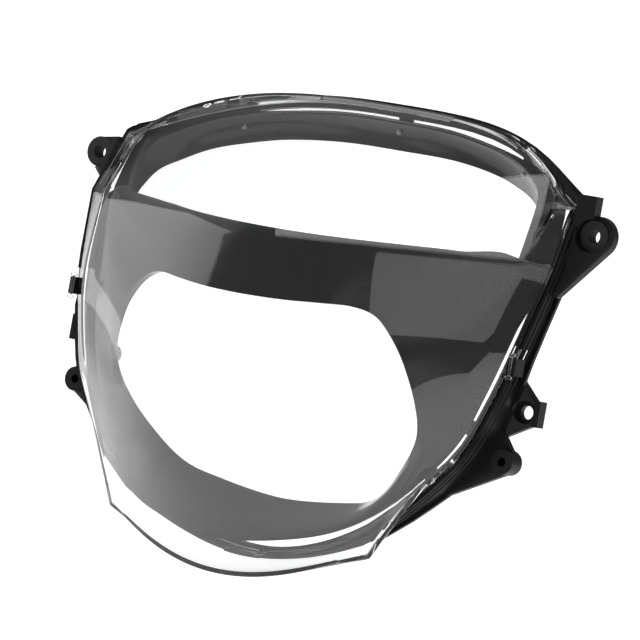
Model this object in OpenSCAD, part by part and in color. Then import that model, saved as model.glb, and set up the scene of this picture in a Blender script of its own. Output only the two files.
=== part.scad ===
// Front lens unit of a motorcycle headlamp: a clear outer lens on a black carrier frame,
// with a gloss bezel, a hood trim, a sealing bead, screws and rubber grommets.
// Row frame: X to the right seen from the front, Y to the rear, Z up, origin midway between
// the two upper lug holes. Outlines are written from the lens datum, the point midway
// between the two ends of the lens's character line, and `from_datum` moves them.

/* [Lens] */
// Width of the lens between its two side creases
lens_w = 232; // [226:1:238]
// Wall thickness of the clear lens
lens_wall = 2.6; // [2.2:0.1:2.8]
// Depth of the straight hem that sits in the frame's groove
hem = 4; // [3:0.5:4]
// How far the upper facet is crowned above a flat sheet
crown = 6; // [3:0.5:9]

/* [Bezel and hood] */
// Wall thickness of the gloss bezel
bezel_wall = 2.2; // [1.8:0.1:2.4]
// Depth of the return lip around the main window
window_lip = 5; // [3:0.5:7]
// Wall thickness of the hood trim
hood_wall = 2; // [1.6:0.1:2.2]

/* [Carrier frame] */
// Thickness of the frame's walls
frame_wall = 1.8; // [1.6:0.1:2]
// Diameter of the sealing bead
bead_d = 2.6; // [2.2:0.1:2.8]
// Thickness of the upper lug plates
lug_t = 4.5; // [4:0.5:6]
// Thickness of the lower ears
ear_t = 3; // [2.5:0.5:4]

/* [Mounting] */
// Distance between the two upper lug holes
upper_pitch = 274; // [272:1:278]
// Distance between the two lower ear holes
lower_pitch = 246; // [244:1:248]
// Diameter of the hole in the upper grommets
grommet_hole = 6.6; // [6:0.1:7]
// Diameter of the hole in the lower ears
ear_hole = 6.4; // [5.5:0.1:7]

/* [Quality] */
// Columns across half of the lens
half_cols = 13; // [8:1:18]
// Rows on the lens's upper facet
upper_rows = 6; // [4:1:10]
// Rows on the lens's lower facet
lower_rows = 14; // [10:1:20]
// Stations between two points of a swept outline
per_span = 4; // [3:1:5]

/* [Hidden] */
SIDES = [-1, 1];
NAMES = ["left", "right"];
$fn = 48;
tiny = 0.01;
lug_y = 22; // depth of the upper lugs' middle behind the datum
lug_z = 17; // their height above it
wide = lens_w / 232; // the outlines below are drawn for a lens 232 wide

// ---- outlines, [x, y, z] from the datum, right half, and how each curve bends ----

// side crease of the lens, from its top corner past the character line to the chin
CREASE = [[116, 11, 26], [116, -4, 0], [112, -15, -38], [105, -19, -66], [96, -20, -90],
          [83, -20, -118], [69, -22, -143]];
// centre line of the lens below the character line
PROW = [[0, -56, -8], [0, -62, -38], [0, -65, -66], [0, -65, -92], [0, -56, -122],
        [0, -31, -165]];
TOP_MIDDLE = [0, 48, 62];
// where the lens meets the frame: side, top and bottom
RIM = [[124, 20, 29], [127, 4, -1], [121, -5, -40], [114, -9, -68], [104.5, -11.5, -92],
       [84, -14, -117], [66, -14, -133]];
RIM_TOP = [0, 57, 60.5];
RIM_LOW = [0, -8, -154];
// how far the side wall swells outwards at the chin's corners and along the chin
SWELL = 7.5;
swell_low = 2;

// inner bezel: its outer edge, the bend behind the lens, and the main window
BEZEL_EDGE = [[0, -48, -5], [22, -44, -4.6], [43, -36, -3.6], [66, -25, -2], [88, -14, -0.5],
              [109, -2, 0], [108, -6, -30], [101, -12, -62], [93, -13, -88], [81, -14, -112],
              [63, -23, -131], [38, -31, -142], [0, -36, -148]];
BEZEL_BEND = [[0, -51, -12], [22, -47.5, -12], [43, -39, -11.5], [65, -29, -11.5], [84, -20, -14],
              [100, -10, -20], [101, -13, -40], [97, -15, -64], [90, -15, -88], [77, -15, -110],
              [59, -21, -127], [36, -28, -137], [0, -32, -143]];
WINDOW = [[0, -54, -36.5], [20, -52, -36], [38, -47, -34.5], [51, -40, -33.5], [61, -35, -35.5],
          [69, -33, -42], [77, -29, -54], [83, -22, -72], [82, -14, -87], [72, -6, -103],
          [56, 4, -118], [36, 8, -123.5], [0, 8, -127]];

// hood trim: its rear, front and lower edges from the middle to the end
HOOD_REAR = [[0, 57, 54.5], [30, 56.5, 53.8], [57, 52, 50], [80, 45.5, 45], [95, 39, 39.5],
             [106, 31, 33], [115, 22, 24.5], [119.5, 11, 4]];
HOOD_FRONT = [[0, 54, 54], [30, 53.5, 53.3], [57, 49, 49.5], [78, 42, 43.5], [91, 34, 37.5],
              [100, 26, 31], [106, 15, 22], [107, 5, 3.5]];
HOOD_LOWER = [[0, 65, 41], [30, 64.5, 40.5], [57, 58.5, 37], [77, 51.5, 31.5], [90, 43.5, 26],
              [99, 34.5, 19], [105, 23, 11], [107, 9, 2]];

// ---- curve functions ----

function fit(p) = [p[0] * wide, p[1], p[2]];
function side(p, s) = [s * p[0], p[1], p[2]];
function unit(v) = v / norm(v);
function mix(a, b, k) = a + (b - a) * k;
// Catmull-Rom curve through a, b, c and d, between b and c
function span(a, b, c, d, k) =
    b + (c - a) * k / 2 + (2 * a - 5 * b + 4 * c - d) * k * k / 2
    + (3 * b - a - 3 * c + d) * k * k * k / 2;
// point at k = 0 to 1 along an open outline
function along(list, k) =
    let (n = len(list) - 1, at = min(k * n, n - tiny / n), i = floor(at))
    span(i > 0 ? list[i - 1] : 2 * list[0] - list[1], list[i], list[i + 1],
         i + 2 <= n ? list[i + 2] : 2 * list[n] - list[n - 1], at - i);
// the same along a half outline that starts and ends on the middle plane
function along_half(list, k) =
    let (n = len(list) - 1, at = min(k * n, n - tiny / n), i = floor(at))
    span(i > 0 ? list[i - 1] : side(list[1], -1), list[i], list[i + 1],
         i + 2 <= n ? list[i + 2] : side(list[n - 1], -1), at - i);
// closed outline from its right half, clockwise seen from the front, starting at the top
function ring(half) =
    let (n = (len(half) - 1) * per_span)
    [for (i = [0:2 * n - 1]) fit(side(along_half(half, (i <= n ? i : 2 * n - i) / n),
                                     i <= n ? 1 : -1))];
// open outline from left to right
function arch(half) =
    let (n = (len(half) - 1) * per_span, whole = concat([side(half[1], -1)], half))
    [for (i = [-n:n]) fit(side(along(whole, (abs(i) + per_span) / (n + per_span)), i < 0 ? -1 : 1))];

// how far a cross section of the lens has fallen towards its side crease, 1 at the middle
function arch_fall(w, power) = pow(max(1 - pow(w, 3), 0), power);
function prow_fall(w, soft) = 1 - (sqrt(soft * soft + w * w) - soft) / (sqrt(soft * soft + 1) - soft);

// ---- lens surface: v = 0 at the top edge, 1 on the character line, 2 at the chin ----

function across(edge, middle, fall, w) =
    fit([edge[0] * w, mix(edge[1], middle[1], fall), mix(edge[2], middle[2], fall)]);
function lower_facet(k, w) =
    across(along([for (i = [1:len(CREASE) - 1]) CREASE[i]], k), along(PROW, k),
           prow_fall(abs(w), 0.35 + 2.5 * pow(k, 3)), w);
function upper_facet(k, w) =
    mix(across(CREASE[0], TOP_MIDDLE, arch_fall(abs(w), 0.6), w), lower_facet(0, w), k)
    + crown * 4 * k * (1 - k) * (1 - w * w) * [0, -0.56, 0.83];
function lens_skin(v, w) = v < 1 ? upper_facet(v, w) : lower_facet(v - 1, w);
function rim_top(w, at) =
    fit([mix(CREASE[0][0], RIM[0][0], pow(w, 8)) * at, mix(RIM[0][1], RIM_TOP[1], arch_fall(w, 1.1)),
         mix(RIM[0][2], RIM_TOP[2], arch_fall(w, 1))]);
// the rim beside a point of the lens's edge
function rim(v, w) =
    v == 0 ? rim_top(abs(w), w)
    : v == 2 ? across(RIM[len(RIM) - 1], RIM_LOW, prow_fall(abs(w), 3), w)
    : fit(side(v < 1 ? mix(RIM[0], RIM[1], v)
                     : along([for (i = [1:len(RIM) - 1]) RIM[i]], v - 1), w));

COLS = 2 * half_cols;
ROWS = upper_rows + lower_rows;
function row_v(i) = i < upper_rows ? i / upper_rows : 1 + (i - upper_rows) / lower_rows;
// columns crowd towards the sides along the top edge, where the outline turns
function col_w(j, v) = let (t = j / half_cols - 1) mix(sin(90 * t), t, 0.8 * min(v, 1));
// grid index of each point of the lens's edge, clockwise seen from the front
EDGE = concat([for (j = [0:COLS - 1]) [0, j]], [for (i = [0:ROWS - 1]) [i, COLS]],
              [for (j = [COLS:-1:1]) [ROWS, j]], [for (i = [ROWS:-1:1]) [i, 0]]);
edge_n = len(EDGE);
function edge_skin(k) = lens_skin(row_v(EDGE[k][0]), col_w(EDGE[k][1], row_v(EDGE[k][0])));
function edge_rim(k) = let (v = row_v(EDGE[k][0])) rim(v, col_w(EDGE[k][1], v));
RIM_RING = [for (k = [0:edge_n - 1]) edge_rim(k)];

// unit vector away from the middle of a closed outline, square to it and to the Y axis
function outward(list, k) =
    let (n = len(list), t = list[(k + 1) % n] - list[(k + n - 1) % n])
    unit(cross([t[0], 0, t[2]], [0, 1, 0]));
// a closed outline moved outwards by `out` and to the rear by `back`
function shifted(list, out, back) =
    [for (k = [0:len(list) - 1]) list[k] + out * outward(list, k) + [0, back, 0]];
// inward normal of the lens surface
function lens_normal(v, w) =
    let (d = 0.02, right = lens_skin(v, min(w + d, 1)) - lens_skin(v, max(w - d, -1)),
         down = lens_skin(min(v + d, 2), w) - lens_skin(max(v - d, 0), w))
    unit(cross(right, down));
// offset for a wall that turns a corner between two inward normals
function miter(a, b) = (a + b) / max(1 + a * b, 0.5);

// ---- solids from rows of points ----

function flat(lists) = [for (list = lists) for (p = list) p];
function numbers(from, n) = [for (k = [0:n - 1]) from + k];
// faces of the closed strip between two loops of point numbers, from a back to b
function band(a, b) =
    [for (k = [0:len(a) - 1]) each let (m = (k + 1) % len(a))
        [[a[k], b[k], b[m]], [a[k], b[m], a[m]]]];
// faces of a grid of rows running down and columns running right, seen from the front
function grid(rows, cols, base, wrap) =
    [for (i = [0:rows - 2]) for (j = [0:wrap ? cols - 1 : cols - 2]) each
        let (a = base + i * cols, b = a + cols, m = (j + 1) % cols)
        [[a + j, a + m, b + m], [a + j, b + m, b + j]]];
function turned(faces) = [for (f = faces) [f[0], f[2], f[1]]];
// inward unit normals of rows of points
function normals(rows, wrap) =
    let (last = len(rows) - 1, n = len(rows[0]))
    [for (i = [0:last]) [for (j = [0:n - 1])
        let (l = wrap ? (j + n - 1) % n : max(j - 1, 0), r = wrap ? (j + 1) % n : min(j + 1, n - 1))
        unit(cross(rows[i][r] - rows[i][l], rows[min(i + 1, last)][j] - rows[max(i - 1, 0)][j]))]];

// solid swept round a closed outline; `rings` are its section's corners, rearwards on the outside
module swept_ring(rings) {
    n = len(rings[0]);
    m = len(rings);
    polyhedron(points = flat(rings), convexity = 8,
               faces = flat([for (i = [0:m - 1]) band(numbers(i * n, n), numbers((i + 1) % m * n, n))]));
}
// wall of thickness t behind rows of points
module skin(rows, t, wrap) {
    facing = normals(rows, wrap);
    r = len(rows);
    c = len(rows[0]);
    half = r * c;
    back = [for (i = [0:r - 1]) [for (j = [0:c - 1]) rows[i][j] + t * facing[i][j]]];
    top = numbers(0, c);
    low = numbers(half - c, c);
    right = [for (i = [0:r - 1]) i * c + c - 1];
    left = [for (i = [0:r - 1]) i * c];
    rim_loop = concat(top, [for (i = [1:r - 1]) right[i]], [for (j = [2:c]) low[c - j]],
                      [for (i = [2:r - 1]) left[r - i]]);
    function behind(loop) = [for (i = loop) i + half];
    sides = wrap ? concat(band(top, behind(top)), band(behind(low), low))
                 : band(rim_loop, behind(rim_loop));
    polyhedron(points = concat(flat(rows), flat(back)), convexity = 8,
               faces = concat(grid(r, c, 0, wrap), turned(grid(r, c, half, wrap)), sides));
}
// rows of a surface that leaves outline a towards b and arrives at c
function bent(a, b, c, n, ease) =
    [for (i = [0:n]) let (k = pow(i / n, ease))
        [for (j = [0:len(a) - 1])
            (1 - k) * (1 - k) * a[j] + 2 * k * (1 - k) * b[j] + k * k * c[j]]];
function pushed_back(list, y) = [for (p = list) p + [0, y, 0]];

module from_datum() {
    translate([0, -lug_y, -lug_z]) children();
}
// round bar along Y, from its front end
module bar(p, r, length, $fn = $fn) {
    translate(p) rotate([-90, 0, 0]) cylinder(r = r, h = length);
}

// ---- outer lens and its sealing bead ----

// the wall between the lens's edge and its rim swells outwards at the chin
function swell(k) =
    let (v = row_v(EDGE[k][0]), w = abs(col_w(EDGE[k][1], v)))
    v == 2 ? mix(swell_low, SWELL, pow(w, 4)) : SWELL * pow(max(v - 1.45, 0) / 0.55, 2);
EDGE_RING = [for (k = [0:edge_n - 1]) edge_skin(k)];
WAIST_RING = [for (k = [0:edge_n - 1])
    (EDGE_RING[k] + RIM_RING[k]) / 2 + swell(k) * outward(RIM_RING, k)];
// inward normal of the wall between two of the rings
function wall_normal(a, b, k) =
    unit(cross(b[k] - a[k], a[(k + 1) % edge_n] - a[(k + edge_n - 1) % edge_n]));
function lens_back(i, j) =
    let (v = row_v(i), w = col_w(j, v), n = lens_normal(v, w), on_edge = search([[i, j]], EDGE)[0])
    lens_skin(v, w)
    + lens_wall * (is_num(on_edge) ? miter(n, wall_normal(EDGE_RING, WAIST_RING, on_edge)) : n);

module outer_lens() {
    c = COLS + 1;
    half = c * (ROWS + 1);
    loop = [for (e = EDGE) e[0] * c + e[1]];
    inner_waist = [for (k = [0:edge_n - 1])
        WAIST_RING[k] + lens_wall * miter(wall_normal(EDGE_RING, WAIST_RING, k),
                                          wall_normal(WAIST_RING, RIM_RING, k))];
    inner_rim = [for (k = [0:edge_n - 1])
        RIM_RING[k] + lens_wall * miter(wall_normal(WAIST_RING, RIM_RING, k), -outward(RIM_RING, k))];
    rings = [WAIST_RING, RIM_RING, pushed_back(RIM_RING, hem), shifted(RIM_RING, -lens_wall, hem),
             inner_rim, inner_waist];
    last = len(rings) - 1;
    loops = [for (i = [0:last]) numbers(2 * half + i * edge_n, edge_n)];
    chain = concat([loop], loops, [[for (i = loop) i + half]]);
    color([0.9, 0.92, 0.95, 0.35]) from_datum()
        polyhedron(points = concat([for (i = [0:ROWS]) for (j = [0:COLS])
                                        lens_skin(row_v(i), col_w(j, row_v(i)))],
                                   [for (i = [0:ROWS]) for (j = [0:COLS]) lens_back(i, j)], flat(rings)),
                   faces = concat(grid(ROWS + 1, c, 0, false), turned(grid(ROWS + 1, c, half, false)),
                                  flat([for (i = [0:last + 1]) band(chain[i], chain[i + 1])])),
                   convexity = 8);
}

bead_gap = 0.1;
bead_sides = 8;
module sealing_bead() {
    r = bead_d / 2;
    color([0.15, 0.15, 0.16]) from_datum()
        swept_ring([for (i = [0:bead_sides - 1]) let (a = 360 * i / bead_sides)
            shifted(RIM_RING, r * cos(a) - lens_wall / 2, hem + bead_gap + r + r * sin(a))]);
}

// ---- bezel and hood ----

edge_lip = 4; // return flange round the bezel's outer edge
bezel_rows = 5;
row_ease = 0.85; // below 1 the bezel's rows open out near its outer edge
hood_rows = 4;
BEZEL = concat([pushed_back(ring(BEZEL_EDGE), edge_lip)],
               bent(ring(BEZEL_EDGE), ring(BEZEL_BEND), ring(WINDOW), bezel_rows, row_ease),
               [pushed_back(ring(WINDOW), window_lip)]);
// bezel posts and locating pegs: [row, half outline point] of the bezel's surface
BEZEL_POSTS = [[2, 5.25], [2, 7.5], [2, 8.5]];
BEZEL_PEGS = [[2, 11]];
HOOD_MIDDLE = [for (i = [0:len(HOOD_FRONT) - 1]) mix(HOOD_FRONT[i], HOOD_LOWER[i], 0.5) + [0, 3, 3]];
HOOD = concat([arch(HOOD_REAR)], bent(arch(HOOD_FRONT), arch(HOOD_MIDDLE), arch(HOOD_LOWER), hood_rows, 1));
// hood posts: outline points of the hood's row hood_post_row, counted from the middle
hood_post_row = 3;
HOOD_POSTS = [-3, 0, 3];
post_r = 3;
draft = 0.4;
tip_r = 1; // radius of the post's tip inside the skin's wall
post_root = 4.6; // depth behind the skin where the post reaches its full radius
pilot_l = 5;
pilot_r = 1.2;
pad_t = 2;
pad_r = 4.5;
arm_w = 7.1;
pad_hole_r = 1.8;
pad_sink = 0.2; // how far a pad's front face is behind the groove's floor
function bezel_post(p, s) =
    let (n = len(BEZEL[0]), j = round(p[1] * per_span)) BEZEL[p[0]][s > 0 ? j : n - j];
function hood_post(at) = HOOD[hood_post_row][(len(HOOD[0]) - 1) / 2 + at * per_span];
// rim point nearest to p seen from the front, and the depth of a screw pad at p
function nearest(p) =
    let (far = [for (q = RIM_RING) norm([q[0] - p[0], q[2] - p[2]])]) RIM_RING[search(min(far), far)[0]];
function pad_y(p) = nearest(p)[1] + groove_y + pad_sink;

// drafted post behind a trim skin, from inside its wall to the frame pad, with a blind pilot hole
module post(p) {
    pad_y = pad_y(p);
    difference() {
        hull() {
            bar(p + [0, bezel_wall / 2, 0], tip_r, tiny, $fn = 16);
            bar(p + [0, post_root, 0], post_r + draft, tiny, $fn = 16);
            bar([p[0], pad_y - tiny, p[2]], post_r, tiny, $fn = 16);
        }
        bar([p[0], pad_y - pilot_l, p[2]], pilot_r, pilot_l + tiny, $fn = 16);
    }
}

module inner_bezel() {
    color([0.03, 0.03, 0.035]) from_datum() {
        skin(BEZEL, bezel_wall, true);
        for (s = SIDES, p = concat(BEZEL_POSTS, BEZEL_PEGS)) post(bezel_post(p, s));
    }
}

module upper_hood() {
    color([0.04, 0.04, 0.045]) from_datum() {
        skin(HOOD, hood_wall, false);
        for (at = HOOD_POSTS) post(hood_post(at));
    }
}

// ---- carrier frame ----

slack = 0.3; // clearance between the lens hem and the groove's walls
groove_y = hem + 2 * bead_gap + bead_d;
lip_y = 1;
rib_y = 3;
// depth of the frame's skirt behind the rim at the rim's outline points, top to bottom
SKIRT = [10, 11, 12, 17, 21, 14, 9];
skirt_top = 9;
skirt_low = 9;
function skirt(k) =
    let (v = row_v(EDGE[k][0]), w = abs(col_w(EDGE[k][1], v)), n = len(SKIRT) - 1)
    v == 0 ? skirt_top : v == 2 ? mix(skirt_low, SKIRT[n], w * w)
    : v < 1 ? mix(SKIRT[0], SKIRT[1], v)
    : along([for (i = [1:n]) [SKIRT[i], 0]], v - 1)[0];
// the rim moved outwards by `out` and back to the skirt's rear edge, with a share of the flange
function at_skirt(out, share) =
    [for (k = [0:edge_n - 1])
        RIM_RING[k] + (out + share * flange_out(k)) * outward(RIM_RING, k) + [0, skirt(k), 0]];

flange = 2; // outward flange at the skirt's rear edge, on the sides only
thin_flange = 0.3;
function flange_out(k) =
    let (v = row_v(EDGE[k][0]), w = abs(col_w(EDGE[k][1], v)))
    v > 0 && v < 2 ? flange : mix(thin_flange, flange, pow(w, 8));
module frame_ring() {
    far = slack + frame_wall;
    near = lens_wall + slack;
    swept_ring([shifted(RIM_RING, far, lip_y), pushed_back(at_skirt(far, 0), -flange),
                pushed_back(at_skirt(far, 1), -flange), at_skirt(far, 1), at_skirt(slack, 0),
                shifted(RIM_RING, slack, groove_y + frame_wall),
                shifted(RIM_RING, -near - frame_wall, groove_y + frame_wall),
                shifted(RIM_RING, -near - frame_wall, rib_y), shifted(RIM_RING, -near, rib_y),
                shifted(RIM_RING, -near, groove_y), shifted(RIM_RING, slack, groove_y),
                shifted(RIM_RING, slack, lip_y)]);
}

lug_r = [7.2, 9.5]; // outer radius of the left and right upper lugs
lug_hole_r = 5.2;
LUG = [upper_pitch / 2, lug_y, lug_z];
// the webs in front of the lug and ear plates are cut back round their holes
pocket_l = 14;
lug_pocket_r = 7.6;
ear_pocket_r = 5.2;
web_r = 1.5; // radius at the corners of the lugs' and ears' webs
TAB = [[127, 15, 20], [137, 21, 35]]; // corners of the locating tab over the right lug
module upper_lug(s) {
    c = side(LUG, s);
    hull() {
        bar(c - [0, lug_t / 2, 0], lug_r[s > 0 ? 1 : 0], lug_t);
        bar([s * 127.5, 18, 24], web_r, 8);
        bar(s > 0 ? [130, 5, -12] : [-130, 13, 6], web_r, 4);
    }
    if (s > 0) translate(TAB[0]) cube(TAB[1] - TAB[0]);
}

EAR = [lower_pitch / 2, 12, -67];
BOSS = [118.5, 3, -91];
ear_r = 7;
boss_r = 5.8;
boss_l = 9;
boss_hole_r = 2.1;
EAR_TAB = [3, 6, 12]; // size of the thick end of each ear
module lower_ear(s) {
    c = side(EAR, s);
    hull() {
        bar(c - [0, ear_t / 2, 0], ear_r, ear_t);
        bar([s * 119, 6, -53], web_r, ear_t);
        bar([s * 114, 7, -79], web_r, ear_t);
    }
    translate(c + [s * (ear_r - EAR_TAB[0] / 2) - EAR_TAB[0] / 2, -EAR_TAB[1] / 2, -EAR_TAB[2] / 2])
        cube(EAR_TAB);
    hull() {
        bar(side(BOSS, s) + [0, 3, 0], boss_r, ear_t);
        bar([s * 112, 6, -76], web_r, ear_t);
        bar([s * 93, 1, -110], web_r, ear_t);
    }
    bar(side(BOSS, s), boss_r, boss_l);
}

// corners of the snap tongue on the right side, and of the slot that frees it from the outer wall
TONGUE = [[120.6, -8, -51.5], [123.6, -0.5, -43.5]];
SLOT = [[119.5, -9, -56], [126, 4, -39]];
module clip_slot(s) {
    mirror([s > 0 ? 0 : 1, 0, 0]) difference() {
        translate(SLOT[0]) cube(SLOT[1] - SLOT[0]);
        translate([SLOT[0][0] - 1, SLOT[0][1] - 1, TONGUE[0][2]])
            cube([10, 20, TONGUE[1][2] - TONGUE[0][2]]);
    }
}
module clip_tongue(s) {
    mirror([s > 0 ? 0 : 1, 0, 0]) translate(TONGUE[0]) cube(TONGUE[1] - TONGUE[0]);
}

// pad for a trim screw, with an arm to the frame's groove
module pad(p) {
    root = nearest(p);
    run = [root[0] - p[0], root[2] - p[2]];
    bar([p[0], pad_y(p), p[2]], pad_r, pad_t);
    translate([p[0], pad_y(p), p[2]]) rotate([0, -atan2(run[1], run[0]), 0])
        translate([0, 0, -arm_w / 2]) cube([norm(run) - bead_d / 2, pad_t, arm_w]);
}

module rear_frame() {
    pads = concat([for (s = SIDES, p = BEZEL_POSTS) bezel_post(p, s)], [for (at = HOOD_POSTS) hood_post(at)]);
    color([0.06, 0.06, 0.065]) from_datum() {
        difference() {
            union() {
                frame_ring();
                for (s = SIDES) {
                    upper_lug(s);
                    lower_ear(s);
                    clip_tongue(s);
                }
                for (p = pads) pad(p);
            }
            for (s = SIDES) {
                bar(side(LUG, s) - [0, pocket_l, 0], lug_hole_r, 2 * pocket_l);
                bar(side(LUG, s) - [0, pocket_l + lug_t / 2, 0], lug_pocket_r, pocket_l);
                bar(side(EAR, s) - [0, pocket_l, 0], ear_hole / 2, 2 * pocket_l);
                bar(side(EAR, s) - [0, pocket_l + ear_t / 2, 0], ear_pocket_r, pocket_l);
                bar(side(BOSS, s) - [0, tiny, 0], boss_hole_r, boss_l - 2);
                clip_slot(s);
            }
            for (p = pads) bar([p[0], pad_y(p) - pad_t / 2, p[2]], pad_hole_r, 2 * pad_t);
        }
    }
}

// ---- screws and grommets ----

module trim_screw(p) {
    color([0.35, 0.35, 0.37]) from_datum() translate([p[0], pad_y(p) + pad_t, p[2]]) rotate([-90, 0, 0])
        difference() {
            union() {
                cylinder(r = 3.2, h = 1.8);
                translate([0, 0, -pad_t - 4.5]) cylinder(r = pilot_r, h = pad_t + 5);
            }
            for (a = [0, 90]) rotate([0, 0, a]) translate([-1.6, -0.35, 0.8]) cube([3.2, 0.7, 2]);
        }
}
module bezel_screw(i) {
    trim_screw(bezel_post(BEZEL_POSTS[floor(i / 2)], SIDES[i % 2]));
}
module hood_screw(i) {
    trim_screw(hood_post(HOOD_POSTS[i]));
}

flange_r = 7.2;
flange_t = 1.8;
module upper_grommet(s) {
    color([0.05, 0.05, 0.05]) from_datum() translate(side(LUG, s)) rotate([-90, 0, 0])
        rotate_extrude()
            polygon([[grommet_hole / 2, -lug_t / 2 - flange_t], [flange_r, -lug_t / 2 - flange_t],
                     [flange_r, -lug_t / 2], [lug_hole_r, -lug_t / 2], [lug_hole_r, lug_t / 2],
                     [flange_r, lug_t / 2], [flange_r, lug_t / 2 + flange_t],
                     [grommet_hole / 2, lug_t / 2 + flange_t]]);
}

outer_lens();
sealing_bead();
inner_bezel();
upper_hood();
rear_frame();
for (i = [0:5]) bezel_screw(i);
for (i = [0:2]) hood_screw(i);
for (i = [0:1]) upper_grommet(SIDES[i]);
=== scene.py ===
"""Looks of the headlamp front lens unit.

The lens, the bezel, the hood trim and the sealing bead are built again here as fine meshes that
stand for their CAD nodes; the carrier frame, the screws and the grommets are the CAD nodes
themselves with better materials. A few small details (the mark, the frame's ribs, the snap
eyelets) are added. Outlines are in millimetres from the lens datum, the point midway between the
two ends of the lens's character line.
"""

import math

import bmesh
import bpy
import numpy as np
from mathutils import Matrix, Vector


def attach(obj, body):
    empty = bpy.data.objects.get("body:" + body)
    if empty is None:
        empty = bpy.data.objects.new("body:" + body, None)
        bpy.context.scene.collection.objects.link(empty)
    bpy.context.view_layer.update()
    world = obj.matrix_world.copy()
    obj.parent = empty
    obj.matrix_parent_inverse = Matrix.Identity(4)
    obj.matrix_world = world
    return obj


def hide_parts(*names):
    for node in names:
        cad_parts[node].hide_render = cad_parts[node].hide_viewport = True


MM = 0.001
DATUM = np.array([0.0, -22.0, -17.0])  # the lens datum in the row frame
MIRROR = np.array([-1.0, 1.0, 1.0])
BACK = np.array([0.0, 1.0, 0.0])
LENS_WALL = 2.6
HEM = 4.0
CROWN, CROWN_AIM = 6.0, [0, -0.56, 0.83]  # rise of the upper facet's middle, and its direction
BEZEL_WALL = 2.2
WINDOW_LIP = 5.0
HOOD_WALL = 2.0
HOOD_BULGE = [0, 3, 3]
BEAD_R = 1.3
BEAD_GAP = 0.1
LENS_ROUND, BEZEL_ROUND, HOOD_ROUND, EYELET_ROUND = 1.1, 0.7, 0.6, 0.4  # rounding of the edges
ROUND_SEGMENTS, ROUND_ANGLE = 3, math.radians(38)
SHARP_ANGLE = math.radians(28)  # CAD edges sharper than this stay crisp

# nodes that a finer mesh stands for
REPLACED = ("outer_lens", "sealing_bead", "inner_bezel", "upper_hood")

# side crease of the lens, centre line of its lower facet, and the middle of its top edge
CREASE = [[116, 11, 26], [116, -4, 0], [112, -15, -38], [105, -19, -66], [96, -20, -90],
          [83, -20, -118], [69, -22, -143]]
PROW = [[0, -56, -8], [0, -62, -38], [0, -65, -66], [0, -65, -92], [0, -56, -122], [0, -31, -165]]
TOP_MIDDLE = np.array([0, 48, 62])
# where the lens meets the frame: side, top and bottom
RIM = [[124, 20, 29], [127, 4, -1], [121, -5, -40], [114, -9, -68], [104.5, -11.5, -92],
       [84, -14, -117], [66, -14, -133]]
RIM_TOP = np.array([0, 57, 60.5])
RIM_LOW = np.array([0, -8, -154])
# how far the side wall swells out at the chin's corners and in its middle, and where that starts
SWELL, SWELL_LOW, SWELL_FROM = 7.5, 2.0, 1.45
# shape of an edge from its middle to its side: powers of the arches, softness of the prow's ridge
TOP_POWER, RIM_POWER_Y, RIM_POWER_Z = 0.6, 1.1, 1
NOSE_SOFT, CHIN_SOFTER, RIM_SOFT = 0.35, 2.5, 3
# bezel: rear edge of its side flange, outer edge, the bend behind the lens, and the main window
BEZEL_REAR = [[0, -45, -5], [22, -41, -4.6], [43, -33, -3.6], [66, -22, -2], [91, -9, -1.5],
              [120, 8.5, -2.5], [115.5, 0, -33], [108.5, -4.5, -63], [100.5, -7, -86],
              [83.5, -9, -109], [62.5, -16, -129.5], [37.5, -27, -141.5], [0, -32, -147.5]]
BEZEL_EDGE = [[0, -48, -5], [22, -44, -4.6], [43, -36, -3.6], [66, -25, -2], [88, -14, -0.5],
              [109, -2, 0], [108, -6, -30], [101, -12, -62], [93, -13, -88], [81, -14, -112],
              [63, -23, -131], [38, -31, -142], [0, -36, -148]]
BEZEL_BEND = [[0, -51, -12], [22, -47.5, -12], [43, -39, -11.5], [65, -29, -11.5], [84, -20, -14],
              [100, -10, -20], [101, -13, -40], [97, -15, -64], [90, -15, -88], [77, -15, -110],
              [59, -21, -127], [36, -28, -137], [0, -32, -143]]
WINDOW = [[0, -54, -36.5], [20, -52, -36], [38, -47, -34.5], [51, -40, -33.5], [61, -35, -35.5],
          [69, -33, -42], [77, -29, -54], [83, -22, -72], [82, -14, -87], [72, -6, -103],
          [56, 4, -118], [36, 8, -123.5], [0, 8, -127]]
# hood trim: rear, front and lower edges from the middle to the end
HOOD_REAR = [[0, 57, 54.5], [30, 56.5, 53.8], [57, 52, 50], [80, 45.5, 45], [95, 39, 39.5],
             [107, 32, 34], [117, 23.5, 26], [121, 12, -3]]
HOOD_FRONT = [[0, 54, 54], [30, 53.5, 53.3], [57, 49, 49.5], [78, 42, 43.5], [91, 34, 37.5],
              [100, 26, 31], [106, 15, 22], [107, 5, -3]]
HOOD_LOWER = [[0, 65, 41], [30, 64.5, 40.5], [57, 58.5, 37], [77, 51.5, 31.5], [90, 43.5, 26],
              [99, 34.5, 19], [105, 23, 11], [107, 9, -4]]
# the generic mark on the bezel's band: a ring, how far its middle line stands out, and its bars
MARK_AT, MARK_R, MARK_RISE = np.array([45.0, -39.5, -17.0]), 3.6, 0.1
MARK_RING_R, MARK_RING_POINTS = 0.25, 40
MARK_BAR_R, MARK_BARS, MARK_BAR_GAP, MARK_BAR_PITCH = 0.3, (3.2, 2.4, 3.0), 1.6, 1.7
# ribs round the carrier frame's wall, outside the rim and behind it
FRAME_OUT, RIB_R, RIB_DEPTHS = 2.0, 0.7, (3.4, 7.0)
# the two uprights and the crossbar of a snap eyelet on the right side
EYELET_BARS = [([119.6, -9.4, -53.6], [122.8, -8.0, -51.9]),
               ([119.6, -9.4, -43.1], [122.8, -8.0, -41.4]),
               ([120.6, -9.4, -51.9], [121.8, -8.0, -43.1])]

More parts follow.
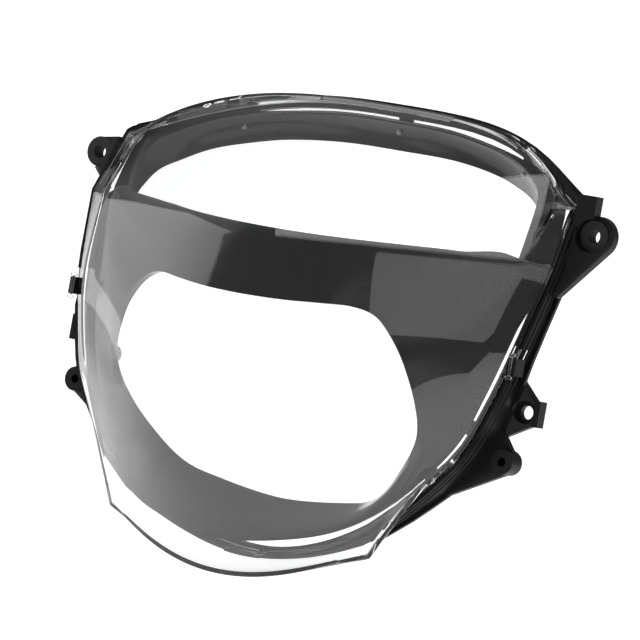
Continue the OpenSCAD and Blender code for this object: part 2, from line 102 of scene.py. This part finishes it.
HALF_COLS = 44  # columns across half of the lens
UPPER_ROWS = 20
LOWER_ROWS = 44
PER_SPAN = 12  # stations between two points of a swept outline
TRIM_ROWS = 22
ROW_EASE = 0.85  # below 1 a skin's rows open out near its outer edge
WALL_STEPS = 6  # rings of the lens's side wall
BEAD_SIDES = 20
BAR_SIDES = 10
SMOOTH_PASSES = 8

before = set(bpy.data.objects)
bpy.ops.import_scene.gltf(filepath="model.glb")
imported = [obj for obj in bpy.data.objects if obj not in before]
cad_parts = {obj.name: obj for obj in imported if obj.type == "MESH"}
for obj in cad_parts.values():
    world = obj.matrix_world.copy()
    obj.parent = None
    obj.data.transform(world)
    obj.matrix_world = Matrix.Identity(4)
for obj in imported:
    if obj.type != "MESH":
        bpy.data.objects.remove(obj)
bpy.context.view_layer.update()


# ---- curves ----

def mix(a, b, k):
    return a + (b - a) * k


def along(outline, k, ends=("straight", "straight")):
    """Points at k = 0 to 1 of the Catmull-Rom curve through an outline.

    Beyond an end marked "mirror" the curve carries on as its mirror image in the middle plane.
    """
    pts = np.array(outline, float)
    first = pts[1] * MIRROR if ends[0] == "mirror" else 2 * pts[0] - pts[1]
    last = pts[-2] * MIRROR if ends[1] == "mirror" else 2 * pts[-1] - pts[-2]
    pts = np.vstack([first, pts, last])
    n = len(outline) - 1
    at = np.clip(np.asarray(k, float) * n, 0, n - 1e-6)
    i = at.astype(int)
    t = (at - i)[..., None]
    a, b, c, d = pts[i], pts[i + 1], pts[i + 2], pts[i + 3]
    return (b + (c - a) * t / 2 + (2 * a - 5 * b + 4 * c - d) * t**2 / 2
            + (3 * b - a - 3 * c + d) * t**3 / 2)


def closed(half):
    """Closed outline from its right half, clockwise seen from the front, starting at the top."""
    n = (len(half) - 1) * PER_SPAN
    right = along(half, np.arange(n + 1) / n, ("mirror", "mirror"))
    return np.vstack([right, right[n - 1:0:-1] * MIRROR])


def arch(half):
    """Open outline from the left end to the right end."""
    n = (len(half) - 1) * PER_SPAN
    right = along(half, np.arange(n + 1) / n, ("mirror", "straight"))
    return np.vstack([right[:0:-1] * MIRROR, right])


def unit(v):
    return v / np.linalg.norm(v, axis=-1, keepdims=True)


def miter(a, b):
    """Where two unit offsets meet at a corner, kept short on sharp corners."""
    return (a + b) / np.maximum(1 + (a * b).sum(-1, keepdims=True), 0.5)


# ---- lens surface: v = 0 at the top edge, 1 on the character line, 2 at the chin ----

def arch_fall(w, power):
    """1 in the middle and 0 at the side, for a rounded edge."""
    return np.maximum(1 - w**3, 0) ** power


def prow_fall(w, soft):
    """1 in the middle and 0 at the side, for a ridge that a larger `soft` blunts."""
    return 1 - (np.sqrt(soft**2 + w**2) - soft) / (np.sqrt(soft**2 + 1) - soft)


def across(edge, middle, fall, w):
    """Points from side to side (w = -1 to 1) between an edge point and a middle point."""
    return np.stack([edge[..., 0] * w, mix(edge[..., 1], middle[..., 1], fall),
                     mix(edge[..., 2], middle[..., 2], fall)], -1)


def lower_facet(k, w):
    fall = prow_fall(np.abs(w), NOSE_SOFT + CHIN_SOFTER * k**3)
    return across(along(CREASE[1:], k), along(PROW, k), fall, w)


def upper_facet(k, w):
    top = across(np.array(CREASE[0], float), TOP_MIDDLE, arch_fall(np.abs(w), TOP_POWER), w)
    bulge = CROWN * 4 * k * (1 - k) * (1 - w**2)
    return mix(top, lower_facet(0 * k, w), k[..., None]) + bulge[..., None] * CROWN_AIM


def lens_skin(v, w):
    v, w = np.broadcast_arrays(np.asarray(v, float), np.asarray(w, float))
    upper = upper_facet(np.minimum(v, 1), w)
    lower = lower_facet(np.maximum(v - 1, 0), w)
    return np.where((v < 1)[..., None], upper, lower)


def lens_normal(v, w, d=0.004):
    right = lens_skin(v, np.minimum(w + d, 1)) - lens_skin(v, np.maximum(w - d, -1))
    down = lens_skin(np.minimum(v + d, 2), w) - lens_skin(np.maximum(v - d, 0), w)
    return unit(np.cross(right, down))


def rim(v, w):
    """The rim beside points of the lens's edge."""
    a, side = np.abs(w), np.array(RIM[0], float)
    top = np.stack([mix(CREASE[0][0], side[0], a**8) * w,
                    mix(side[1], RIM_TOP[1], arch_fall(a, RIM_POWER_Y)),
                    mix(side[2], RIM_TOP[2], arch_fall(a, RIM_POWER_Z))], -1)
    low = across(np.array(RIM[-1], float), RIM_LOW, prow_fall(a, RIM_SOFT), w)
    beside_upper = mix(side, np.array(RIM[1], float), np.minimum(v, 1)[..., None])
    sides = np.where((v < 1)[..., None], beside_upper, along(RIM[1:], np.maximum(v - 1, 0)))
    sides = sides * np.stack([w, 1 + 0 * w, 1 + 0 * w], -1)
    return np.where((v == 0)[..., None], top, np.where((v == 2)[..., None], low, sides))


def row_v():
    return np.concatenate([np.arange(UPPER_ROWS) / UPPER_ROWS,
                           1 + np.arange(LOWER_ROWS + 1) / LOWER_ROWS])


def col_w(v):
    """Columns crowd towards the sides along the top edge, where the outline turns."""
    t = np.arange(-HALF_COLS, HALF_COLS + 1) / HALF_COLS
    return mix(np.sin(math.pi / 2 * t), t, 0.8 * np.minimum(v, 1)[:, None])


def outward(ring):
    """Unit vectors away from the middle of a closed outline, square to it and to the Y axis."""
    t = np.roll(ring, -1, 0) - np.roll(ring, 1, 0)
    return unit(np.stack([-t[:, 2], 0 * t[:, 0], t[:, 0]], -1))


# ---- meshes ----

def band(a, b):
    """Faces of the closed strip between two loops of vertex numbers."""
    a2, b2 = np.roll(a, -1), np.roll(b, -1)
    return np.stack([a, b, b2, a2], -1).tolist()


def grid(rows, cols, base, wrap):
    """Faces between rows of vertex numbers that start at base; wrap closes each row."""
    faces = []
    for i in range(rows - 1):
        a = base + i * cols + np.arange(cols)
        strip = band(a, a + cols)
        faces += [f[::-1] for f in (strip if wrap else strip[:-1])]
    return faces


def add_mesh(name, points, faces, round_off, material):
    """A smooth-shaded object on the root body from points in millimetres from the datum."""
    mesh = bpy.data.meshes.new(name)
    mesh.from_pydata(((np.asarray(points) + DATUM) * MM).tolist(), [], faces)
    mesh.validate()
    shell = bmesh.new()
    shell.from_mesh(mesh)
    bmesh.ops.recalc_face_normals(shell, faces=shell.faces)
    shell.to_mesh(mesh)
    shell.free()
    mesh.shade_smooth()
    obj = bpy.data.objects.new(name, mesh)
    bpy.context.scene.collection.objects.link(obj)
    if round_off:
        bevel = obj.modifiers.new("rounded_edges", "BEVEL")
        bevel.width, bevel.segments = round_off * MM, ROUND_SEGMENTS
        bevel.limit_method, bevel.angle_limit = "ANGLE", ROUND_ANGLE
        bevel.harden_normals = True
    mesh.materials.append(material)
    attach(obj, "root")
    return obj


def skin_mesh(rows, t, wrap):
    """Points and faces of a wall of thickness t behind rows of points."""
    rows = np.array(rows)
    r, c = rows.shape[:2]
    if wrap:
        sideways = np.roll(rows, -1, 1) - np.roll(rows, 1, 1)
    else:
        sideways = np.gradient(rows, axis=1)
    facing = unit(np.cross(sideways, np.gradient(rows, axis=0)))
    for _ in range(SMOOTH_PASSES):  # an even inner face where the skin turns sharply
        facing[1:-1] = unit(facing[:-2] + 2 * facing[1:-1] + facing[2:])
    back = rows + t * facing
    half = r * c
    top, low = np.arange(c), np.arange(half - c, half)
    if wrap:
        sides = band(top + half, top) + band(low, low + half)
    else:
        loop = np.concatenate([top, np.arange(2 * c - 1, half, c), low[-2::-1],
                               np.arange(half - 2 * c, 0, -c)])
        sides = band(loop + half, loop)
    faces = grid(r, c, 0, wrap) + [f[::-1] for f in grid(r, c, half, wrap)] + sides
    return np.vstack([rows.reshape(-1, 3), back.reshape(-1, 3)]), faces


def bar_along(path, radius, wrap=False):
    """Points and faces of a round rib along a path."""
    path = np.asarray(path, float)
    t = unit(np.roll(path, -1, 0) - np.roll(path, 1, 0) if wrap else np.gradient(path, axis=0))
    sideways = unit(np.cross(t, BACK + 0.001))  # the offset keeps a bar along Y from failing
    up = np.cross(t, sideways)
    a = np.arange(BAR_SIDES) * 2 * math.pi / BAR_SIDES
    pts = np.stack([path + radius * (math.cos(k) * sideways + math.sin(k) * up) for k in a], 1)
    n, faces, circle = len(path), [], np.arange(BAR_SIDES)
    for k in range(n if wrap else n - 1):
        faces += band(k * BAR_SIDES + circle, (k + 1) % n * BAR_SIDES + circle)
    if not wrap:
        faces += [circle[::-1].tolist(), ((n - 1) * BAR_SIDES + circle).tolist()]
    return pts.reshape(-1, 3), faces


def block(low, high):
    """Points and faces of a box between two corners."""
    pts = np.array([(x, y, z) for x in (low[0], high[0]) for y in (low[1], high[1])
                    for z in (low[2], high[2])], float)
    return pts, [[0, 1, 3, 2], [4, 6, 7, 5], [0, 4, 5, 1], [2, 3, 7, 6], [0, 2, 6, 4], [1, 5, 7, 3]]


def joined(parts):
    """Points and faces of several parts as one mesh."""
    pts, faces, base = [], [], 0
    for p, f in parts:
        pts.append(p)
        faces += [[i + base for i in face] for face in f]
        base += len(p)
    return np.vstack(pts), faces


# ---- materials ----

def new_material(name):
    mat = bpy.data.materials.new(name)
    mat.use_nodes = True
    return mat, mat.node_tree.nodes, mat.node_tree.links, mat.node_tree.nodes["Principled BSDF"]


def noise(nodes, links, scale, detail=4.0, rough=0.55):
    coord = nodes.new("ShaderNodeTexCoord")
    tex = nodes.new("ShaderNodeTexNoise")
    tex.inputs["Scale"].default_value = scale
    tex.inputs["Detail"].default_value = detail
    tex.inputs["Roughness"].default_value = rough
    links.new(coord.outputs["Object"], tex.inputs["Vector"])
    return tex.outputs["Fac"]


def ramp(nodes, links, value, low, high, at=(0.3, 0.7)):
    """A colour or a number that follows `value` between two ends."""
    node = nodes.new("ShaderNodeValToRGB")
    for stop, place, colour in zip(node.color_ramp.elements, at, (low, high)):
        stop.position = place
        stop.color = (*colour, 1) if isinstance(colour, tuple) else (colour, colour, colour, 1)
    links.new(value, node.inputs["Fac"])
    return node.outputs["Color"]


def bump(nodes, links, height, strength, distance, shader, below=None):
    node = nodes.new("ShaderNodeBump")
    node.inputs["Strength"].default_value = strength
    node.inputs["Distance"].default_value = distance
    links.new(height, node.inputs["Height"])
    if below is not None:
        links.new(below, node.inputs["Normal"])
    links.new(node.outputs["Normal"], shader.inputs["Normal"])
    return node.outputs["Normal"]


def plastic(name, dark, light, rough, grain, grain_depth, specular, wave=0.12):
    """Moulded plastic: blotchy colour, uneven gloss, and a fine grain over a slow waviness."""
    mat, nodes, links, shader = new_material(name)
    links.new(ramp(nodes, links, noise(nodes, links, 18), dark, light), shader.inputs["Base Color"])
    smudges = noise(nodes, links, 34, 6, 0.62)
    links.new(ramp(nodes, links, smudges, rough[0], rough[1]), shader.inputs["Roughness"])
    shader.inputs["Specular IOR Level"].default_value = specular
    slow = bump(nodes, links, noise(nodes, links, 26, 1), wave, 0.0008, shader)
    bump(nodes, links, noise(nodes, links, grain, 2), grain_depth, 0.00008, shader, slow)
    return mat


def clear_plastic():
    """Clear polycarbonate: fine dust haze in its gloss and the slow waviness of a moulding."""
    mat, nodes, links, shader = new_material("clear_polycarbonate")
    shader.inputs["Transmission Weight"].default_value = 1.0
    shader.inputs["IOR"].default_value = 1.5
    haze = noise(nodes, links, 45, 5, 0.6)
    links.new(ramp(nodes, links, haze, 0.0, 0.035, (0.35, 0.8)), shader.inputs["Roughness"])
    # painted shade: the colour greys where the lens is seen at a glancing angle, as on its chin and
    # sides
    facing = nodes.new("ShaderNodeLayerWeight")
    facing.inputs["Blend"].default_value = 0.5
    glancing_painted_shade = ramp(nodes, links, facing.outputs["Facing"], (1, 1, 1), (0.5, 0.51, 0.53),
                     (0.72, 0.98))
    tint = ramp(nodes, links, noise(nodes, links, 12, 2), (0.975, 0.98, 0.985), (1, 1, 1))
    both = nodes.new("ShaderNodeMix")
    both.data_type, both.blend_type = "RGBA", "MULTIPLY"
    both.inputs["Factor"].default_value = 1.0
    links.new(glancing_painted_shade, both.inputs["A"])
    links.new(tint, both.inputs["B"])
    links.new(both.outputs["Result"], shader.inputs["Base Color"])
    bump(nodes, links, noise(nodes, links, 22, 1), 0.05, 0.0006, shader)
    return mat


def zinc():
    mat, nodes, links, shader = new_material("zinc_plating")
    shader.inputs["Metallic"].default_value = 1.0
    spangle = noise(nodes, links, 420, 3)
    colour = ramp(nodes, links, spangle, (0.42, 0.42, 0.44), (0.68, 0.69, 0.71))
    links.new(colour, shader.inputs["Base Color"])
    links.new(ramp(nodes, links, spangle, 0.38, 0.24), shader.inputs["Roughness"])
    bump(nodes, links, noise(nodes, links, 1500, 2), 0.15, 0.00005, shader)
    return mat


CLEAR = clear_plastic()
GLOSS = plastic("gloss_black_plastic", (0.006, 0.006, 0.007), (0.012, 0.012, 0.014), (0.12, 0.22),
                3200, 0.002, specular=0.3, wave=0.04)
SATIN = plastic("satin_black_plastic", (0.005, 0.005, 0.006), (0.012, 0.012, 0.013), (0.32, 0.5),
                2600, 0.35, specular=0.18)
SEALANT = plastic("black_sealant", (0.01, 0.01, 0.011), (0.03, 0.03, 0.032), (0.5, 0.75),
                  700, 0.4, specular=0.35)
RUBBER = plastic("grommet_rubber", (0.012, 0.012, 0.012), (0.028, 0.027, 0.027), (0.6, 0.85),
                 1800, 0.5, specular=0.3)
ZINC = zinc()


# ---- lens ----

V = row_v()
W = col_w(V)
ROWS, COLS = W.shape
at_row = np.repeat(V[:, None], COLS, 1)
# row and column of each point of the lens's edge, clockwise seen from the front
edge = np.array([(0, j) for j in range(COLS - 1)]
                + [(i, COLS - 1) for i in range(ROWS - 1)]
                + [(ROWS - 1, j) for j in range(COLS - 1, 0, -1)]
                + [(i, 0) for i in range(ROWS - 1, 0, -1)])
edge_v, edge_w = at_row[edge[:, 0], edge[:, 1]], W[edge[:, 0], edge[:, 1]]
EDGE_RING = lens_skin(edge_v, edge_w)
RIM_RING = rim(edge_v, edge_w)
OUT = outward(RIM_RING)
swell = np.where(edge_v == 2, mix(SWELL_LOW, SWELL, np.abs(edge_w) ** 4),
                 SWELL * (np.maximum(edge_v - SWELL_FROM, 0) / (2 - SWELL_FROM)) ** 2)


def wall_points(k):
    """The curved side wall from the lens's edge (k = 0) to its rim (k = 1)."""
    return mix(EDGE_RING, RIM_RING, k) + (4 * k * (1 - k) * swell)[:, None] * OUT


def wall_normal(k, d=0.05):
    down = wall_points(min(k + d, 1)) - wall_points(max(k - d, 0))
    ring = wall_points(k)
    return unit(np.cross(down, np.roll(ring, -1, 0) - np.roll(ring, 1, 0)))


def build_lens():
    front = lens_skin(at_row, W)
    facing = lens_normal(at_row, W)
    facing[edge[:, 0], edge[:, 1]] = miter(facing[edge[:, 0], edge[:, 1]], wall_normal(0))
    back = front + LENS_WALL * facing
    steps = np.linspace(0, 1, WALL_STEPS + 1)[1:]
    outside = [wall_points(k) for k in steps]
    inside = [wall_points(k) + LENS_WALL * wall_normal(k) for k in steps[:-1]]
    inner_rim = RIM_RING + LENS_WALL * miter(wall_normal(1), -OUT)
    hem = RIM_RING + HEM * BACK
    rings = outside + [hem, hem - LENS_WALL * OUT, inner_rim] + inside[::-1]
    n, half = len(edge), ROWS * COLS
    loop = edge[:, 0] * COLS + edge[:, 1]
    chain = [loop] + [np.arange(n) + 2 * half + i * n for i in range(len(rings))] + [loop + half]
    faces = grid(ROWS, COLS, 0, False) + [f[::-1] for f in grid(ROWS, COLS, half, False)]
    for a, b in zip(chain, chain[1:]):
        faces += band(b, a)
    points = np.vstack([front.reshape(-1, 3), back.reshape(-1, 3)] + rings)
    lens = add_mesh("clear_lens", points, faces, LENS_ROUND, CLEAR)
    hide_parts("outer_lens")


def build_bead():
    rings = []
    for i in range(BEAD_SIDES):
        a = 2 * math.pi * i / BEAD_SIDES
        rings.append(RIM_RING + (BEAD_R * math.cos(a) - LENS_WALL / 2) * OUT
                     + (HEM + BEAD_GAP + BEAD_R + BEAD_R * math.sin(a)) * BACK)
    n, faces = len(edge), []
    for i in range(BEAD_SIDES):
        faces += band(np.arange(n) + (i + 1) % BEAD_SIDES * n, np.arange(n) + i * n)
    bead = add_mesh("bead_of_sealant", np.vstack(rings), faces, 0, SEALANT)
    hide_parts("sealing_bead")


build_lens()
build_bead()


# ---- bezel and hood ----

def bent(a, b, c, n):
    """Rows of a surface that leaves outline a towards b and arrives at c."""
    steps = np.linspace(0, 1, n + 1) ** ROW_EASE
    return [(1 - k) ** 2 * a + 2 * k * (1 - k) * b + k**2 * c for k in steps]


def build_bezel():
    """The bezel; returns the rows of its face, which carry the mark."""
    outer, bend, window = closed(BEZEL_EDGE), closed(BEZEL_BEND), closed(WINDOW)
    rows = ([closed(BEZEL_REAR)] + bent(outer, bend, window, TRIM_ROWS)
            + [window + WINDOW_LIP * BACK])
    bezel = add_mesh("gloss_bezel", *skin_mesh(rows, BEZEL_WALL, True), BEZEL_ROUND, GLOSS)
    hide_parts("inner_bezel")
    return np.array(rows)


def build_hood():
    front, low = arch(HOOD_FRONT), arch(HOOD_LOWER)
    rows = [arch(HOOD_REAR)] + bent(front, (front + low) / 2 + HOOD_BULGE, low, TRIM_ROWS)
    hood = add_mesh("hood_trim", *skin_mesh(rows, HOOD_WALL, False), HOOD_ROUND, GLOSS)
    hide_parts("upper_hood")


def build_mould_mark(rows):
    """A plain ring and three bars, raised on the bezel's band."""
    surface = rows[1:-1]
    away = ((surface - MARK_AT)[..., [0, 2]] ** 2).sum(-1)
    i, j = np.unravel_index(np.argmin(away), away.shape)
    right = unit(surface[i, j + 1] - surface[i, j - 1])
    down = unit(surface[i + 1, j] - surface[i - 1, j])
    centre = surface[i, j] - MARK_RISE * unit(np.cross(right, down))
    a = np.arange(MARK_RING_POINTS)[:, None] * 2 * math.pi / MARK_RING_POINTS
    parts = [bar_along(centre + MARK_R * (np.cos(a) * right + np.sin(a) * down), MARK_RING_R, True)]
    for k, half in enumerate(MARK_BARS):
        middle = centre + (MARK_R + MARK_BAR_GAP + MARK_BAR_PITCH * k) * down
        parts.append(bar_along([middle - half * right, middle, middle + half * right], MARK_BAR_R))
    mark = add_mesh("mould_mark", *joined(parts), 0, GLOSS)


def build_frame_ribs():
    """Raised lines round the outside of the carrier frame's wall, parallel to the lens's rim."""
    parts = [bar_along(RIM_RING + FRAME_OUT * OUT + depth * BACK, RIB_R, True)
             for depth in RIB_DEPTHS]
    ribs = add_mesh("frame_ribs", *joined(parts), 0, SATIN)


def build_eyelets():
    """Clear eyelets of the lens over the frame's snap tongues."""
    for name, s in (("left", -1), ("right", 1)):
        parts = []
        for low, high in EYELET_BARS:
            pts, faces = block(low, high)
            parts.append((pts * [s, 1, 1], faces))
        eyelet = add_mesh("snap_eyelet_" + name, *joined(parts), EYELET_ROUND, CLEAR)


bezel_surface = build_bezel()
build_hood()
build_mould_mark(bezel_surface)
build_frame_ribs()
build_eyelets()


# ---- CAD nodes that stay ----

for name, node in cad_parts.items():
    if name in REPLACED:
        continue
    node.data.shade_smooth()
    node.data.set_sharp_from_angle(angle=SHARP_ANGLE)
    node.data.materials.clear()
    node.data.materials.append(ZINC if "screw" in name else RUBBER if "grommet" in name else SATIN)


# ---- stage, lights and camera ----

def studio_white():
    mat, nodes, links, shader = new_material("studio_white")
    links.new(ramp(nodes, links, noise(nodes, links, 2), 0.93, 0.95), shader.inputs["Base Color"])
    shader.inputs["Roughness"].default_value = 0.9
    shader.inputs["Emission Color"].default_value = (1, 1, 1, 1)
    shader.inputs["Emission Strength"].default_value = 0.85
    return mat


FLOOR_Z = -0.42
COVE_NEAR, COVE_FAR, COVE_HALF_WIDTH, COVE_BEND = -6.0, 4.8, 9.0, 1.4
BEND_POINTS = 24
VIEW_AZIMUTH, VIEW_ROLL, VIEW_DISTANCE = math.radians(32), math.radians(10), 3.0
SENSOR_WIDTH, FOCAL_LENGTH = 36, 364.8
# the lens datum sits above the middle of the picture, so the camera looks a little below it
AIM_RIGHT, AIM_DOWN = 0.00086, 0.0146
rightward = Vector((math.cos(VIEW_AZIMUTH), math.sin(VIEW_AZIMUTH), 0))
ahead = Vector((-math.sin(VIEW_AZIMUTH), math.cos(VIEW_AZIMUTH), 0))
cam_right = rightward * math.cos(VIEW_ROLL) + Vector((0, 0, math.sin(VIEW_ROLL)))
cam_up = -rightward * math.sin(VIEW_ROLL) + Vector((0, 0, math.cos(VIEW_ROLL)))


def build_cove():
    """A floor that curves up into a backdrop behind the object."""
    run = [(COVE_NEAR, 0.0)]
    for a in np.linspace(0, math.pi / 2, BEND_POINTS):
        run.append((COVE_FAR + COVE_BEND * math.sin(a), COVE_BEND - COVE_BEND * math.cos(a)))
    verts = []
    for x in (-COVE_HALF_WIDTH, COVE_HALF_WIDTH):
        verts += [tuple(rightward * x + ahead * y + Vector((0, 0, FLOOR_Z + z))) for y, z in run]
    n = len(run)
    faces = [(i, i + 1, i + 1 + n, i + n) for i in range(n - 1)]
    mesh = bpy.data.meshes.new("cove")
    mesh.from_pydata(verts, [], faces)
    mesh.shade_smooth()
    mesh.materials.append(studio_white())
    cove = bpy.data.objects.new("cove", mesh)
    bpy.context.scene.collection.objects.link(cove)


def softbox(name, place, aim, size, power):
    data = bpy.data.lights.new(name, "AREA")
    data.shape, data.size, data.size_y, data.energy = "RECTANGLE", size[0], size[1], power
    lamp = bpy.data.objects.new(name, data)
    bpy.context.scene.collection.objects.link(lamp)
    lamp.location = place
    lamp.rotation_euler = (Vector(aim) - Vector(place)).to_track_quat("-Z", "Y").to_euler()


build_cove()
softbox("top_box", (0.1, -0.4, 1.9), (0, 0, -0.05), (1.8, 1.4), 12)
softbox("left_box", (-2.2, -0.6, 0.3), (0, 0, -0.08), (1.6, 2.2), 10)
softbox("right_box", (1.6, -2.2, 1.2), (0, 0, -0.06), (1.4, 1.4), 5)

world = bpy.data.worlds.new("studio")
world.use_nodes = True
world.node_tree.nodes["Background"].inputs["Color"].default_value = (1, 1, 1, 1)
world.node_tree.nodes["Background"].inputs["Strength"].default_value = 0.22
bpy.context.scene.world = world
bpy.context.scene.view_settings.view_transform = "Standard"

camera_data = bpy.data.cameras.new("camera")
camera_data.sensor_width = SENSOR_WIDTH
camera_data.lens = FOCAL_LENGTH
camera = bpy.data.objects.new("camera", camera_data)
bpy.context.scene.collection.objects.link(camera)
camera.location = Vector(DATUM * MM) - ahead * VIEW_DISTANCE
look = (ahead + AIM_RIGHT * cam_right - AIM_DOWN * cam_up).normalized()
side_axis = look.cross(cam_up).normalized()
camera.rotation_euler = Matrix((side_axis, side_axis.cross(look), -look)).transposed().to_euler()
camera_data.clip_start, camera_data.clip_end = 0.05, 60
bpy.context.scene.camera = camera
